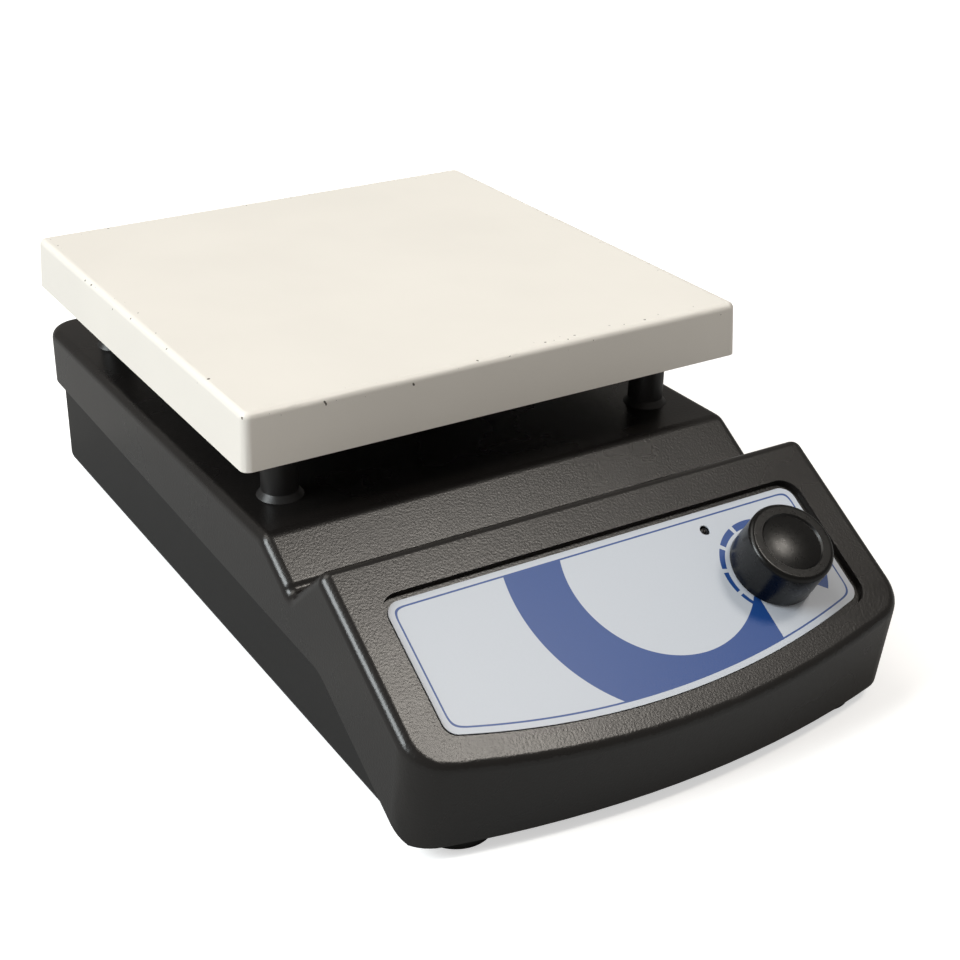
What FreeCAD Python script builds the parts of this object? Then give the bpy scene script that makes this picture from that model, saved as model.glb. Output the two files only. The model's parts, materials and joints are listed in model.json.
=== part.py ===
import FreeCAD, Part
import math
import os
import re
import Sketcher

doc = FreeCAD.newDocument("hot_plate")
sizes = doc.addObject("Spreadsheet::Sheet", "sizes")

# Driving sizes in millimetres and degrees; the footprint centre is the origin, the floor z = 0, the front -Y
TABLE = {
    # Housing cover
    "cover_width": 174.0,
    "cover_length": 298.4,
    "cover_wall": 2.5,
    "bow_radius": 325.0,
    "rear_corner": 12.0,
    "front_corner": 12.5,
    "front_undercut": 2.6,
    "front_rake": 7.0,
    "deck_height": 61.0,
    "rim_radius": 3.6,
    "roll_setback": 37.2,
    "roll_radius": 7.0,
    "facet_run": 14.7,
    "facet_drop": 9.2,
    "facet_radius": 3.0,
    "valley_run": 2.3,
    "valley_drop": 3.0,
    "valley_radius": 2.5,
    "crest_setback": 64.2,
    "crest_height": 67.4,
    "crest_radius": 3.0,
    "panel_slope": 31.3,
    "lip_rear_height": 40.6,
    "lip_front_height": 34.3,
    "lip_bend_setback": 65.4,
    "lip_bend_radius": 12.0,
    "lip_toe_setback": 17.4,
    "cut_room": 10.0,
    # Base shell
    "foot_height": 5.0,
    "seam_gap": 0.3,
    "base_wall": 2.5,
    "base_top": 46.0,
    "base_bottom_radius": 4.0,
    "base_panel_room": 6.0,
    "vent_width": 3.5,
    "vent_length": 44.0,
    "vent_pitch": 9.0,
    "vent_count": 9.0,
    "vent_y": 66.0,
    "rear_vent_width": 3.0,
    "rear_vent_height": 16.0,
    "rear_vent_pitch": 7.0,
    "rear_vent_count": 9.0,
    "rear_vent_x": 42.0,
    # Heating plate and what hangs under it
    "plate_side": 180.0,
    "plate_height": 18.2,
    "plate_rear_gap": 15.0,
    "plate_gap": 20.8,
    "plate_wall": 4.0,
    "plate_skin": 5.0,
    "plate_corner": 3.0,
    "plate_edge": 2.2,
    "plate_draft": 3.0,
    "plate_boss": 12.0,
    "pillar_offset": 70.0,
    "pillar_front_gap": 22.0,
    "pillar_diameter": 12.0,
    "pillar_flare": 15.0,
    "pillar_flare_height": 2.0,
    "shield_lift": 2.1,
    "shield_sheet": 0.8,
    "shield_side": 164.0,
    "shield_flange": 3.0,
    "pad_side": 122.0,
    "pad_gap": 0.1,
    "element_tube": 6.5,
    "element_ring": 50.0,
    "element_gap_angle": 30.0,
    "element_leg_end": 50.0,
    "element_room": 1.5,
    "bush_flange": 16.0,
    "bush_flange_height": 2.0,
    "bush_neck": 11.0,
    "bush_depth": 6.0,
    "bush_play": 0.1,
    # Screws and feet
    "screw_shank": 4.0,
    "screw_head": 7.5,
    "screw_head_height": 2.4,
    "screw_play": 0.15,
    "pillar_screw_reach": 7.0,
    "bore_spare": 1.0,
    "foot_diameter": 24.0,
    "foot_flare": 1.0,
    "foot_side_inset": 21.0,
    "foot_end_inset": 24.2,
    "foot_head_depth": 3.0,
    "foot_boss_height": 9.0,
    "boss_diameter": 10.0,
    "case_side_inset": 14.0,
    "case_rear_inset": 57.2,
    "case_front_gap": 8.0,
    "case_boss_top": 12.0,
    "case_head_depth": 3.5,
    "case_screw_reach": 18.0,
    # Front panel
    "label_top_run": 14.25,
    "label_width": 145.6,
    "label_side_height": 41.5,
    "label_bow_radius": 257.0,
    "label_corner": 4.5,
    "label_sheet": 0.5,
    "recess_border": 2.0,
    "recess_depth": 2.0,
    "panel_floor": 1.5,
    "knob_x": 49.8,
    "knob_down": 24.5,
    "lamp_x": 35.9,
    "lamp_down": 6.5,
    "lamp_diameter": 3.0,
    "lamp_length": 7.0,
    "lamp_ring": 5.2,
    "lamp_flange": 8.0,
    # Knob and what it turns
    "knob_diameter": 27.6,
    "knob_top_diameter": 27.2,
    "knob_height": 14.3,
    "knob_float": 0.9,
    "knob_step_diameter": 19.5,
    "knob_step": 0.5,
    "knob_dome": 1.2,
    "knob_edge": 1.6,
    "knob_skirt_bore": 18.6,
    "knob_skirt_depth": 5.0,
    "knob_bore_depth": 11.4,
    "shaft_diameter": 6.0,
    "shaft_play": 0.05,
    "shaft_flat": 1.5,
    "shaft_back": 11.0,
    "shaft_end_room": 0.4,
    "thread_diameter": 9.0,
    "thread_length": 7.2,
    "thread_play": 0.2,
    "pot_diameter": 24.0,
    "pot_length": 12.0,
    "terminal_width": 14.0,
    "terminal_length": 8.0,
    "terminal_sheet": 2.0,
    "terminal_root": 2.0,
    "washer_diameter": 14.0,
    "washer_sheet": 0.6,
    "nut_width": 12.6,
    "nut_height": 2.4,
    "grub_diameter": 3.0,
    "grub_length": 4.6,
    "grub_height": 7.4,
    # Electrical pieces inside
    "board_x": 84.0,
    "board_y": 66.0,
    "board_sheet": 1.6,
    "board_centre_y": 6.0,
    "board_inset": 4.5,
    "spacer_height": 8.0,
    "spacer_diameter": 6.5,
    "small_shank": 3.0,
    "small_head": 5.6,
    "small_head_height": 2.0,
    "small_reach": 6.0,
    "sink_x": 46.0,
    "sink_y": 18.0,
    "sink_height": 26.0,
    "sink_back": 4.0,
    "sink_fin": 1.6,
    "sink_fin_pitch": 6.0,
    "sink_fin_count": 8.0,
    "sink_inset": 8.5,
    "triac_x": 10.4,
    "triac_sheet": 4.6,
    "triac_height": 15.6,
    "capacitor_x": 26.0,
    "capacitor_y": 10.0,
    "capacitor_height": 18.0,
    "capacitor_gap": 6.0,
    "choke_ring": 8.0,
    "choke_tube": 3.6,
    "block_x": 46.0,
    "block_y": 16.0,
    "block_height": 13.0,
    "block_at_x": -20.0,
    "block_end_inset": 45.2,
    "block_ways": 5.0,
    "block_pitch": 9.0,
    "block_entry": 5.0,
    "cutout_diameter": 15.0,
    "cutout_height": 8.0,
    "cutout_x": 30.0,
    "cutout_rise": 24.0,
    "cutout_tab_reach": 4.0,
    "cutout_tab_width": 5.0,
    "cutout_tab_sheet": 1.0,
    # Mains inlet in the rear wall
    "inlet_x": 42.0,
    "inlet_height": 24.0,
    "inlet_flange_width": 50.0,
    "inlet_flange_height": 29.0,
    "inlet_body_width": 30.0,
    "inlet_body_height": 26.6,
    "inlet_body_depth": 24.0,
    "inlet_fit": 0.2,
    "socket_width": 24.4,
    "socket_height": 15.4,
    "socket_depth": 17.0,
    "socket_rise": 4.2,
    "socket_chamfer": 4.0,
    "pin_width": 2.0,
    "pin_height": 4.0,
    "pin_length": 19.0,
    "pin_spread": 7.0,
    "pin_offset": 2.0,
    "pin_tail": 2.0,
    "drawer_width": 24.0,
    "drawer_height": 6.4,
    "drawer_depth": 20.0,
    "drawer_fall": 8.6,
    "drawer_play": 0.15,
    "inlet_screw_spread": 20.0,
    "inlet_screw_length": 11.5,
}
for row, (alias, number) in enumerate(TABLE.items(), start=1):
    sizes.set("A%d" % row, alias.replace("_", " "))
    sizes.set("B%d" % row, str(number))
    sizes.setAlias("B%d" % row, alias)
doc.recompute()

# Planes and levels that several pieces share
RIM = "(deck_height + plate_gap)"
PLATE_Y = "(cover_length / 2 - plate_rear_gap - plate_side / 2)"
TOP = "(%s + plate_height)" % RIM
CEILING = "(%s - plate_skin)" % TOP
SHIELD = "(%s + shield_lift)" % RIM
SHIELD_TOP = "(%s + shield_sheet)" % SHIELD
ELEMENT_AXIS = "(%s - element_tube / 2)" % CEILING
DECK_UNDER = "(deck_height - cover_wall)"
FLOOR = "(foot_height + base_wall)"
SEAM = "(cover_wall + seam_gap)"
BASE_REAR = "(cover_length / 2 - %s)" % SEAM
SHANK_HOLE = "(screw_shank / 2 + screw_play)"
CREST_Y = "(cover_length / 2 - crest_setback)"
ROLL_Y = "(%s - roll_setback)" % CREST_Y
PANEL_Y = "(0 - %s - label_top_run * cos(panel_slope))" % CREST_Y
PANEL_Z = "(crest_height - label_top_run * sin(panel_slope))"
LABEL_FLOOR = "(0 - recess_depth)"
LABEL_FACE = "(label_sheet - recess_depth)"
PANEL_UNDER = "(0 - recess_depth - panel_floor)"
KNOB_Y = "(%s - knob_down * cos(panel_slope))" % PANEL_Y
KNOB_Z = "(%s - knob_down * sin(panel_slope))" % PANEL_Z
LAMP_Y = "(%s - lamp_down * cos(panel_slope))" % PANEL_Y
LAMP_Z = "(%s - lamp_down * sin(panel_slope))" % PANEL_Z
LEG_X = "(element_ring * sin(element_gap_angle / 2))"
LEG_Y = "(%s + element_ring * cos(element_gap_angle / 2))" % PLATE_Y
BOARD_Z = "(%s + spacer_height)" % FLOOR
BOARD_TOP = "(%s + board_sheet)" % BOARD_Z
LEFT_RIGHT = (-1, 1)
CORNERS = tuple((across, along) for across in LEFT_RIGHT for along in LEFT_RIGHT)
PILLAR_ENDS = ("pillar_front_gap - " + ROLL_Y, PLATE_Y + " + pillar_offset")
PILLAR_SPOTS = [("%d * pillar_offset" % across, along) for across in LEFT_RIGHT for along in PILLAR_ENDS]


def tied(text):
    """The same formula with each alias led back to the sheet."""

    def lead_back(word):
        return "sizes." + word.group() if word.group() in TABLE else word.group()

    return re.sub(r"[a-z_]+", lead_back, text)


def value(text):
    """The number that a formula gives now."""
    return float(sizes.evalExpression(tied(text)))


def bind(thing, **formulas):
    """Ties properties to formulas; a double underscore stands for a dot."""
    for name, text in formulas.items():
        thing.setExpression(name.replace("__", "."), tied(text))


def place(thing, at, tilt=None, axis=FreeCAD.Vector(1, 0, 0)):
    """Puts a thing at a point given by three formulas, turned about an axis by a fourth."""
    turn = FreeCAD.Rotation(axis, value(tilt)) if tilt else FreeCAD.Rotation()
    thing.Placement = FreeCAD.Placement(FreeCAD.Vector(*[value(part) for part in at]), turn)
    bind(thing, Placement__Base__x=at[0], Placement__Base__y=at[1], Placement__Base__z=at[2])
    if tilt and not re.fullmatch(r"-?[0-9.]+", tilt):
        bind(thing, Placement__Rotation__Angle=tilt)
    return thing


def new_body(name):
    return doc.addObject("PartDesign::Body", name)


def new_sketch(body, name, role="XY_Plane", at=("0", "0", "0"), tilt=None):
    """A sketch on one of the body's own origin planes, lifted and tilted by formulas."""
    drawing = body.newObject("Sketcher::SketchObject", name)
    plane = [item for item in body.Origin.OriginFeatures if item.Role == role][0]
    drawing.AttachmentSupport = [(plane, "")]
    drawing.MapMode = "FlatFace"
    turn = FreeCAD.Rotation(FreeCAD.Vector(1, 0, 0), value(tilt)) if tilt else FreeCAD.Rotation()
    drawing.AttachmentOffset = FreeCAD.Placement(FreeCAD.Vector(*[value(part) for part in at]), turn)
    for letter, text in zip("xyz", at):
        if text != "0":
            drawing.setExpression("AttachmentOffset.Base." + letter, tied(text))
    if tilt:
        drawing.setExpression("AttachmentOffset.Rotation.Angle", tied(tilt))
    return drawing


def pin_point(drawing, item, end, across, along):
    """Ties a point of the sketch to its two coordinates."""
    for kind, text, line in (("DistanceX", across, -2), ("DistanceY", along, -1)):
        if text == "0":
            drawing.addConstraint(Sketcher.Constraint("PointOnObject", item, end, line))
        else:
            number = drawing.addConstraint(Sketcher.Constraint(kind, -1, 1, item, end, value(text)))
            drawing.setExpression("Constraints[%d]" % number, tied(text))


def draw_outline(drawing, points, arcs=None):
    """A closed outline through points; arcs holds the radius of each side that bows outwards."""
    arcs = arcs or {}
    spots = [FreeCAD.Vector(value(across), value(along), 0) for across, along in points]
    ends = []
    for number, start in enumerate(spots):
        stop = spots[(number + 1) % len(spots)]
        if number in arcs:
            radius = value(arcs[number])
            middle = (start + stop) * 0.5
            side = (stop - start).cross(FreeCAD.Vector(0, 0, 1)).normalize()
            chord = (stop - start).Length / 2
            crown = middle + side * (radius - math.sqrt(radius * radius - chord * chord))
            item = drawing.addGeometry(Part.Arc(start, crown, stop), False)
        else:
            item = drawing.addGeometry(Part.LineSegment(start, stop), False)
        first = 1 if (drawing.getPoint(item, 1) - start).Length < 1e-6 else 2
        ends.append((item, first, 3 - first))
    for number, (item, first, last) in enumerate(ends):
        following = ends[(number + 1) % len(ends)]
        drawing.addConstraint(Sketcher.Constraint("Coincident", item, last, following[0], following[1]))
        pin_point(drawing, item, first, *points[number])
        if number in arcs:
            held = drawing.addConstraint(Sketcher.Constraint("Radius", item, value(arcs[number])))
            drawing.setExpression("Constraints[%d]" % held, tied(arcs[number]))


def draw_circle(drawing, across, along, radius):
    centre = FreeCAD.Vector(value(across), value(along), 0)
    item = drawing.addGeometry(Part.Circle(centre, FreeCAD.Vector(0, 0, 1), value(radius)), False)
    pin_point(drawing, item, 3, across, along)
    held = drawing.addConstraint(Sketcher.Constraint("Radius", item, value(radius)))
    drawing.setExpression("Constraints[%d]" % held, tied(radius))


def rectangle(half_x, half_y, at_x="0", at_y="0"):
    """The four corners of a centred rectangle as formulas."""
    left = "(%s - %s)" % (at_x, half_x)
    right = "(%s + %s)" % (at_x, half_x)
    near = "(%s - %s)" % (at_y, half_y)
    far = "(%s + %s)" % (at_y, half_y)
    return [(left, near), (right, near), (right, far), (left, far)]


def extrude(body, kind, name, drawing, length, reverse=False, both=False):
    """A pad or pocket of a sketch; a pocket that leaves the volume unchanged is an error."""
    before = body.Shape.Volume if kind == "PartDesign::Pocket" else None
    feature = body.newObject(kind, name)
    feature.Profile = drawing
    feature.Reversed = reverse
    if both:
        feature.SideType = "Symmetric"
    bind(feature, Length=length)
    doc.recompute()
    if before is not None and body.Shape.Volume > before - 0.01:
        raise ValueError(name + " cuts nothing")
    return feature


def pad(body, name, drawing, length, **more):
    return extrude(body, "PartDesign::Pad", name, drawing, length, **more)


def pocket(body, name, drawing, length, **more):
    return extrude(body, "PartDesign::Pocket", name, drawing, length, **more)


def edges_where(feature, test):
    """The names of the edges whose middle and direction pass a test."""
    found = []
    for number, edge in enumerate(feature.Shape.Edges, start=1):
        if edge.Degenerated:
            continue
        half = (edge.FirstParameter + edge.LastParameter) / 2
        if test(edge, edge.valueAt(half), edge.tangentAt(half)):
            found.append("Edge%d" % number)
    return found


def fillet(body, name, feature, test, radius):
    names = edges_where(feature, test)
    if not names:
        raise ValueError(name + " finds no edge")
    rounding = body.newObject("PartDesign::Fillet", name)
    rounding.Base = (feature, names)
    bind(rounding, Radius=radius)
    doc.recompute()
    return rounding


def hollow_shell(body, name, feature, test, wall):
    """Hollows a form to an even wall, open at the faces that pass a test."""
    mouth = ["Face%d" % number for number, face in enumerate(feature.Shape.Faces, start=1) if test(face)]
    shell = body.newObject("PartDesign::Thickness", name)
    shell.Base = (feature, mouth)
    shell.Mode = "Skin"
    shell.Join = "Arc"
    shell.Reversed = True
    bind(shell, Value=wall)
    doc.recompute()
    return shell


def upright(edge, middle, along):
    return abs(along.z) > 0.999


def pattern(body, name, feature, role, pitch, count):
    """A row of copies of one feature along an axis of the body."""
    line = [item for item in body.Origin.OriginFeatures if item.Role == role][0]
    row = body.newObject("PartDesign::LinearPattern", name)
    row.Originals = [feature]
    row.Direction = (line, [""])
    bind(row, Length="%s * (%s - 1)" % (pitch, count), Occurrences=count)
    body.Tip = row
    doc.recompute()
    return row


def cylinder(name, radius, height, at, tilt=None, axis=FreeCAD.Vector(1, 0, 0)):
    item = doc.addObject("Part::Cylinder", name)
    bind(item, Radius=radius, Height=height)
    return place(item, at, tilt, axis)


def cone(name, low, high, height, at, tilt=None):
    item = doc.addObject("Part::Cone", name)
    bind(item, Radius1=low, Radius2=high, Height=height)
    return place(item, at, tilt)


def box(name, length, width, height, at):
    item = doc.addObject("Part::Box", name)
    bind(item, Length=length, Width=width, Height=height)
    return place(item, at)


def centred_box(name, length, width, height, at):
    """A box whose foot is centred on a point."""
    corner = ("%s - (%s) / 2" % (at[0], length), "%s - (%s) / 2" % (at[1], width), at[2])
    return box(name, length, width, height, corner)


def joined(name, parts):
    item = doc.addObject("Part::MultiFuse", name)
    item.Shapes = parts
    item.Refine = True
    return item


def cut(name, base, tool):
    item = doc.addObject("Part::Cut", name)
    item.Base = base
    item.Tool = tool
    return item


def group(name, parts):
    item = doc.addObject("Part::Compound", name)
    item.Links = parts
    return item


def at_panel(item, across, along, height):
    """Seats a thing modelled upright on the sloping panel, its foot on the panel's plane."""
    return place(item, (across, along, height), "panel_slope")


def plan(inset, rear_room="0"):
    """The footprint drawn in by an inset: straight rear and sides, round front corners and a bowed front."""
    half = "(cover_width / 2 - %s)" % inset
    rear = "(cover_length / 2 - %s + %s)" % (inset, rear_room)
    bow = "(bow_radius - %s)" % inset
    corner = "(front_corner - %s)" % inset
    centre = "(bow_radius - cover_length / 2 + front_undercut)"
    turn = "(%s - sqrt((%s - %s) ^ 2 - (%s - %s) ^ 2))" % (centre, bow, corner, half, corner)
    grow = "(%s / (%s - %s))" % (bow, bow, corner)
    touch_x = "((%s - %s) * %s)" % (half, corner, grow)
    touch_y = "(%s + (%s - %s) * %s)" % (centre, turn, centre, grow)
    points = [
        ("0 - " + half, turn),
        ("0 - " + touch_x, touch_y),
        (touch_x, touch_y),
        (half, turn),
        (half, rear),
        ("0 - " + half, rear),
    ]
    return points, {0: corner, 1: bow, 2: corner}


def rear_corner(edge, middle, along):
    return upright(edge, middle, along) and middle.y > 0


def faces_down(face):
    """The test for the open foot of the cover."""
    return abs(face.CenterOfMass.z - value("foot_height")) < 0.01


# Cover: one moulding with a front that leans out as it rises, cut to its side profile
cover = new_body("cover")
drawing = new_sketch(cover, "cover_plan", at=("0", "0", "foot_height"))
draw_outline(drawing, *plan("0", "cut_room"))
block = pad(cover, "cover_block", drawing, "crest_height")
block.UseCustomVector = True
block.AlongSketchNormal = True
block.Direction = FreeCAD.Vector(0, value("0 - sin(front_rake)"), value("cos(front_rake)"))
bind(block, Direction__y="0 - sin(front_rake)", Direction__z="cos(front_rake)")
doc.recompute()

FACET_Y = "(%s + facet_run)" % ROLL_Y
FACET_Z = "(deck_height - facet_drop)"
VALLEY_Y = "(%s + valley_run)" % FACET_Y
VALLEY_Z = "(%s - valley_drop)" % FACET_Z
FRONT_Y = "(cover_length / 2 + cut_room)"
PANEL_END = "(crest_height - (%s - %s) * tan(panel_slope))" % (FRONT_Y, CREST_Y)
SKY = "(foot_height + crest_height + cut_room)"
profile = [
    ("cover_length / 2", "0"),
    (FRONT_Y, "0"),
    (FRONT_Y, SKY),
    ("0 - " + FRONT_Y, SKY),
    ("0 - " + FRONT_Y, PANEL_END),
    ("0 - " + CREST_Y, "crest_height"),
    ("0 - " + VALLEY_Y, VALLEY_Z),
    ("0 - " + FACET_Y, FACET_Z),
    ("0 - " + ROLL_Y, "deck_height"),
    ("cover_length / 2", "deck_height"),
]
drawing = new_sketch(cover, "cover_profile", "YZ_Plane")
draw_outline(drawing, profile)
shaped = pocket(cover, "cover_top_cut", drawing, "cover_width + cut_room", both=True)
shaped = fillet(cover, "cover_rear_corners", shaped, rear_corner, "rear_corner")


def crease(y_text, z_text):
    """The test for the edge that runs across the cover at one corner of its profile."""
    level_y = value(y_text)
    level_z = value(z_text)
    return lambda edge, middle, along: abs(middle.y - level_y) < 0.01 and abs(middle.z - level_z) < 0.01


shaped = fillet(cover, "roll_off", shaped, crease("0 - " + ROLL_Y, "deck_height"), "roll_radius")
shaped = fillet(cover, "facet_end", shaped, crease("0 - " + FACET_Y, FACET_Z), "facet_radius")
shaped = fillet(cover, "valley", shaped, crease("0 - " + VALLEY_Y, VALLEY_Z), "valley_radius")
shaped = fillet(cover, "crest", shaped, crease("0 - " + CREST_Y, "crest_height"), "crest_radius")


def top_rim(edge, middle, along):
    """The edge where the top of the cover meets its upright walls, all the way round."""
    if middle.z < value("foot_height") + 1 or abs(along.z) > 0.9:
        return False
    at_rear = middle.y > value("cover_length / 2") - 0.01
    at_front = middle.y < value("front_undercut - cover_length / 2")
    return abs(along.x) < 0.999 or at_rear or at_front


shaped = fillet(cover, "rim", shaped, top_rim, "rim_radius")
hollow_shell(cover, "cover_shell", shaped, faces_down, "cover_wall")

# The lip: the skirt stops short of the base along the sides and rear, and sweeps down to it at the front
LIP_BEND_Y = "(cover_length / 2 - lip_bend_setback)"
LIP_TOE_Y = "(cover_length / 2 - lip_toe_setback)"
drawing = new_sketch(cover, "lip_line", "YZ_Plane")
draw_outline(
    drawing,
    [
        (FRONT_Y, "lip_rear_height"),
        ("0 - " + LIP_BEND_Y, "lip_front_height"),
        ("0 - " + LIP_TOE_Y, "foot_height"),
        ("0 - " + LIP_TOE_Y, "0 - foot_height"),
        (FRONT_Y, "0 - foot_height"),
    ],
)
lipped = pocket(cover, "lip_cut", drawing, "cover_width + cut_room", both=True)
bend = crease("0 - " + LIP_BEND_Y, "lip_front_height")
fillet(cover, "lip_bend", lipped, bend, "lip_bend_radius")

# Recess for the label on the sloping panel, with a floor of its own under it
LABEL_HALF = "(label_width / 2)"
LABEL_SAG = "(label_bow_radius - sqrt(label_bow_radius ^ 2 - %s ^ 2))" % LABEL_HALF


def label_outline(border):
    """The label's outline, straight at the top and bowed at the foot, grown by a border."""
    half = "(%s + %s)" % (LABEL_HALF, border)
    bow = "(label_bow_radius + %s)" % border
    centre = "(label_bow_radius - label_side_height - %s)" % LABEL_SAG
    foot = "(%s - sqrt(%s ^ 2 - %s ^ 2))" % (centre, bow, half)
    return [("0 - " + half, foot), (half, foot), (half, border), ("0 - " + half, border)], {0: bow}


def panel_sketch(body, name, height):
    """A sketch along the panel, from the middle of the label's top edge, at a height over the panel."""
    along = "%s - (%s) * sin(panel_slope)" % (PANEL_Y, height)
    level = "%s + (%s) * cos(panel_slope)" % (PANEL_Z, height)
    return new_sketch(body, name, at=("0", along, level), tilt="panel_slope")


def square_to_panel(length):
    """The test for edges of one length that stand square to the panel."""
    tilt = math.radians(value("panel_slope"))
    outward = FreeCAD.Vector(0, -math.sin(tilt), math.cos(tilt))
    wanted = value(length)
    return lambda edge, middle, along: abs(along.dot(outward)) > 0.999 and abs(edge.Length - wanted) < 0.01


drawing = panel_sketch(cover, "panel_floor_outline", PANEL_UNDER)
draw_outline(drawing, *label_outline("(recess_border + panel_floor)"))
pad(cover, "panel_floor_pad", drawing, "recess_depth + panel_floor - cover_wall / 2")
drawing = panel_sketch(cover, "recess_outline", "0")
draw_outline(drawing, *label_outline("recess_border"))
recessed = pocket(cover, "label_recess", drawing, "recess_depth")
recessed = fillet(
    cover, "recess_corners", recessed, square_to_panel("recess_depth"), "label_corner + recess_border"
)

# Holes through the deck for the pillar screws and the two ceramic bushes
drawing = new_sketch(cover, "deck_holes", at=("0", "0", "deck_height"))
for across, along in PILLAR_SPOTS:
    draw_circle(drawing, across, along, SHANK_HOLE)
for across in LEFT_RIGHT:
    draw_circle(drawing, "%d * %s" % (across, LEG_X), LEG_Y, "bush_neck / 2 + bush_play")
pocket(cover, "deck_holes_cut", drawing, "cover_wall + 1")

# Four posts hang from the cover to take the case screws, and two holes lead through the panel
CASE_ENDS = ("cover_length / 2 - case_rear_inset", "case_front_gap - " + ROLL_Y)
CASE_X = "(cover_width / 2 - case_side_inset)"
CASE_SPOTS = [("%d * %s" % (across, CASE_X), along) for across in LEFT_RIGHT for along in CASE_ENDS]
POST_LENGTH = "(deck_height - cover_wall / 2 - case_boss_top)"
posts = []
cores = []
for number, (across, along) in enumerate(CASE_SPOTS, start=1):
    foot = (across, along, "case_boss_top")
    posts.append(cylinder("post_%d" % number, "boss_diameter / 2", POST_LENGTH, foot))
    cores.append(cylinder("post_core_%d" % number, SHANK_HOLE, "case_screw_reach + bore_spare", foot))
PANEL_HOLES = (
    ("control_hole", "knob_x", KNOB_Y, KNOB_Z, "thread_diameter / 2 + thread_play"),
    ("lamp_hole", "lamp_x", LAMP_Y, LAMP_Z, "lamp_ring / 2 + thread_play"),
)
for name, across, along, level, radius in PANEL_HOLES:
    drill = cylinder(name + "_drill", radius, "1 - %s" % PANEL_UNDER, ("0", "0", PANEL_UNDER + " - 1"))
    cores.append(at_panel(group(name, [drill]), across, along, level))
top_cover = cut("top_cover", joined("cover_with_posts", [cover] + posts), group("cover_bores", cores))

# Base shell: the inset lower half, with a rounded foot edge and a wall that stands up inside the cover
base = new_body("base")
drawing = new_sketch(base, "base_plan", at=("0", "0", "foot_height"))
draw_outline(drawing, *plan(SEAM))
tray = pad(base, "base_block", drawing, "base_top - foot_height")
tray = fillet(base, "base_rear_corners", tray, rear_corner, "rear_corner - " + SEAM)


def faces_up(face):
    """The test for the open mouth of a tray."""
    return face.normalAt(0, 0).z > 0.5


def at_level(text):
    """The test for the edges that lie at one height."""
    level = value(text)
    return lambda edge, middle, along: abs(middle.z - level) < 0.01


tray = fillet(base, "base_bottom_edge", tray, at_level("foot_height"), "base_bottom_radius")
drawing = new_sketch(base, "base_panel_line", "YZ_Plane")
BASE_CUT_END = "(%s - base_panel_room)" % PANEL_END
draw_outline(
    drawing,
    [
        ("0 - " + CREST_Y, SKY),
        ("0 - " + FRONT_Y, SKY),
        ("0 - " + FRONT_Y, BASE_CUT_END),
        ("0 - " + CREST_Y, "crest_height - base_panel_room"),
    ],
)
tray = pocket(base, "base_panel_cut", drawing, "cover_width + cut_room", both=True)
hollow_shell(base, "base_hollow", tray, faces_up, "base_wall")

# Air slots in the floor and in the rear wall
drawing = new_sketch(base, "vent_slot", at=("0", "0", FLOOR))
draw_outline(
    drawing,
    rectangle("(vent_width / 2)", "(vent_length / 2)", "(0 - vent_pitch * (vent_count - 1) / 2)", "vent_y"),
)
slot = pocket(base, "vent_cut", drawing, "base_wall + 1")
pattern(base, "vent_row", slot, "X_Axis", "vent_pitch", "vent_count")
drawing = new_sketch(base, "rear_slot", "XZ_Plane", at=("0", "0", "0 - %s - 1" % BASE_REAR))
draw_outline(
    drawing,
    rectangle(
        "(rear_vent_width / 2)",
        "(rear_vent_height / 2)",
        "(0 - rear_vent_x - rear_vent_pitch * (rear_vent_count - 1) / 2)",
        "inlet_height",
    ),
)
slot = pocket(base, "rear_vent_cut", drawing, "base_wall + 2", reverse=True)
pattern(base, "rear_vent_row", slot, "X_Axis", "rear_vent_pitch", "rear_vent_count")

# Bosses inside the base for the case screws and the foot screws, and the opening for the inlet
FOOT_X = "(cover_width / 2 - foot_side_inset)"
FOOT_Y = "(cover_length / 2 - foot_end_inset)"
FOOT_SPOTS = [("%d * %s" % (across, FOOT_X), "%d * %s" % (along, FOOT_Y)) for across, along in CORNERS]
BOARD_REACH_X = "(board_x / 2 - board_inset)"
BOARD_REACH_Y = "(board_y / 2 - board_inset)"
BOARD_SPOTS = [
    ("%d * %s" % (across, BOARD_REACH_X), "board_centre_y + %d * %s" % (along, BOARD_REACH_Y))
    for across, along in CORNERS
]
HEAD_HOLE = "(screw_head / 2 + screw_play)"
SMALL_HOLE = "(small_shank / 2 + screw_play)"
bosses = []
bores = []
for number, (across, along) in enumerate(CASE_SPOTS, start=1):
    root = (across, along, FLOOR + " - base_wall / 2")
    height = "case_boss_top - %s + base_wall / 2" % FLOOR
    bosses.append(cylinder("case_boss_%d" % number, "boss_diameter / 2", height, root))
    floor = (across, along, "0")
    bores.append(cylinder("case_bore_%d" % number, SHANK_HOLE, "case_boss_top + 1", floor))
    bores.append(cylinder("case_sink_%d" % number, HEAD_HOLE, "foot_height + case_head_depth", floor))
for number, (across, along) in enumerate(FOOT_SPOTS, start=1):
    root = (across, along, FLOOR + " - base_wall / 2")
    height = "foot_boss_height + base_wall / 2"
    bosses.append(cylinder("foot_boss_%d" % number, "boss_diameter / 2", height, root))
    height = "%s + foot_boss_height - bore_spare" % FLOOR
    bores.append(cylinder("foot_bore_%d" % number, SHANK_HOLE, height, (across, along, "0")))
for number, (across, along) in enumerate(BOARD_SPOTS, start=1):
    bores.append(cylinder("board_bore_%d" % number, SMALL_HOLE, FLOOR + " + 1", (across, along, "0")))
INLET_FACE = "(cover_length / 2)"
bores.append(
    box(
        "inlet_opening",
        "inlet_body_width + 2 * inlet_fit",
        "base_wall + 2",
        "inlet_body_height + 2 * inlet_fit",
        (
            "inlet_x - inlet_body_width / 2 - inlet_fit",
            "%s - base_wall - 1" % BASE_REAR,
            "inlet_height - inlet_body_height / 2 - inlet_fit",
        ),
    )
)
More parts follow.
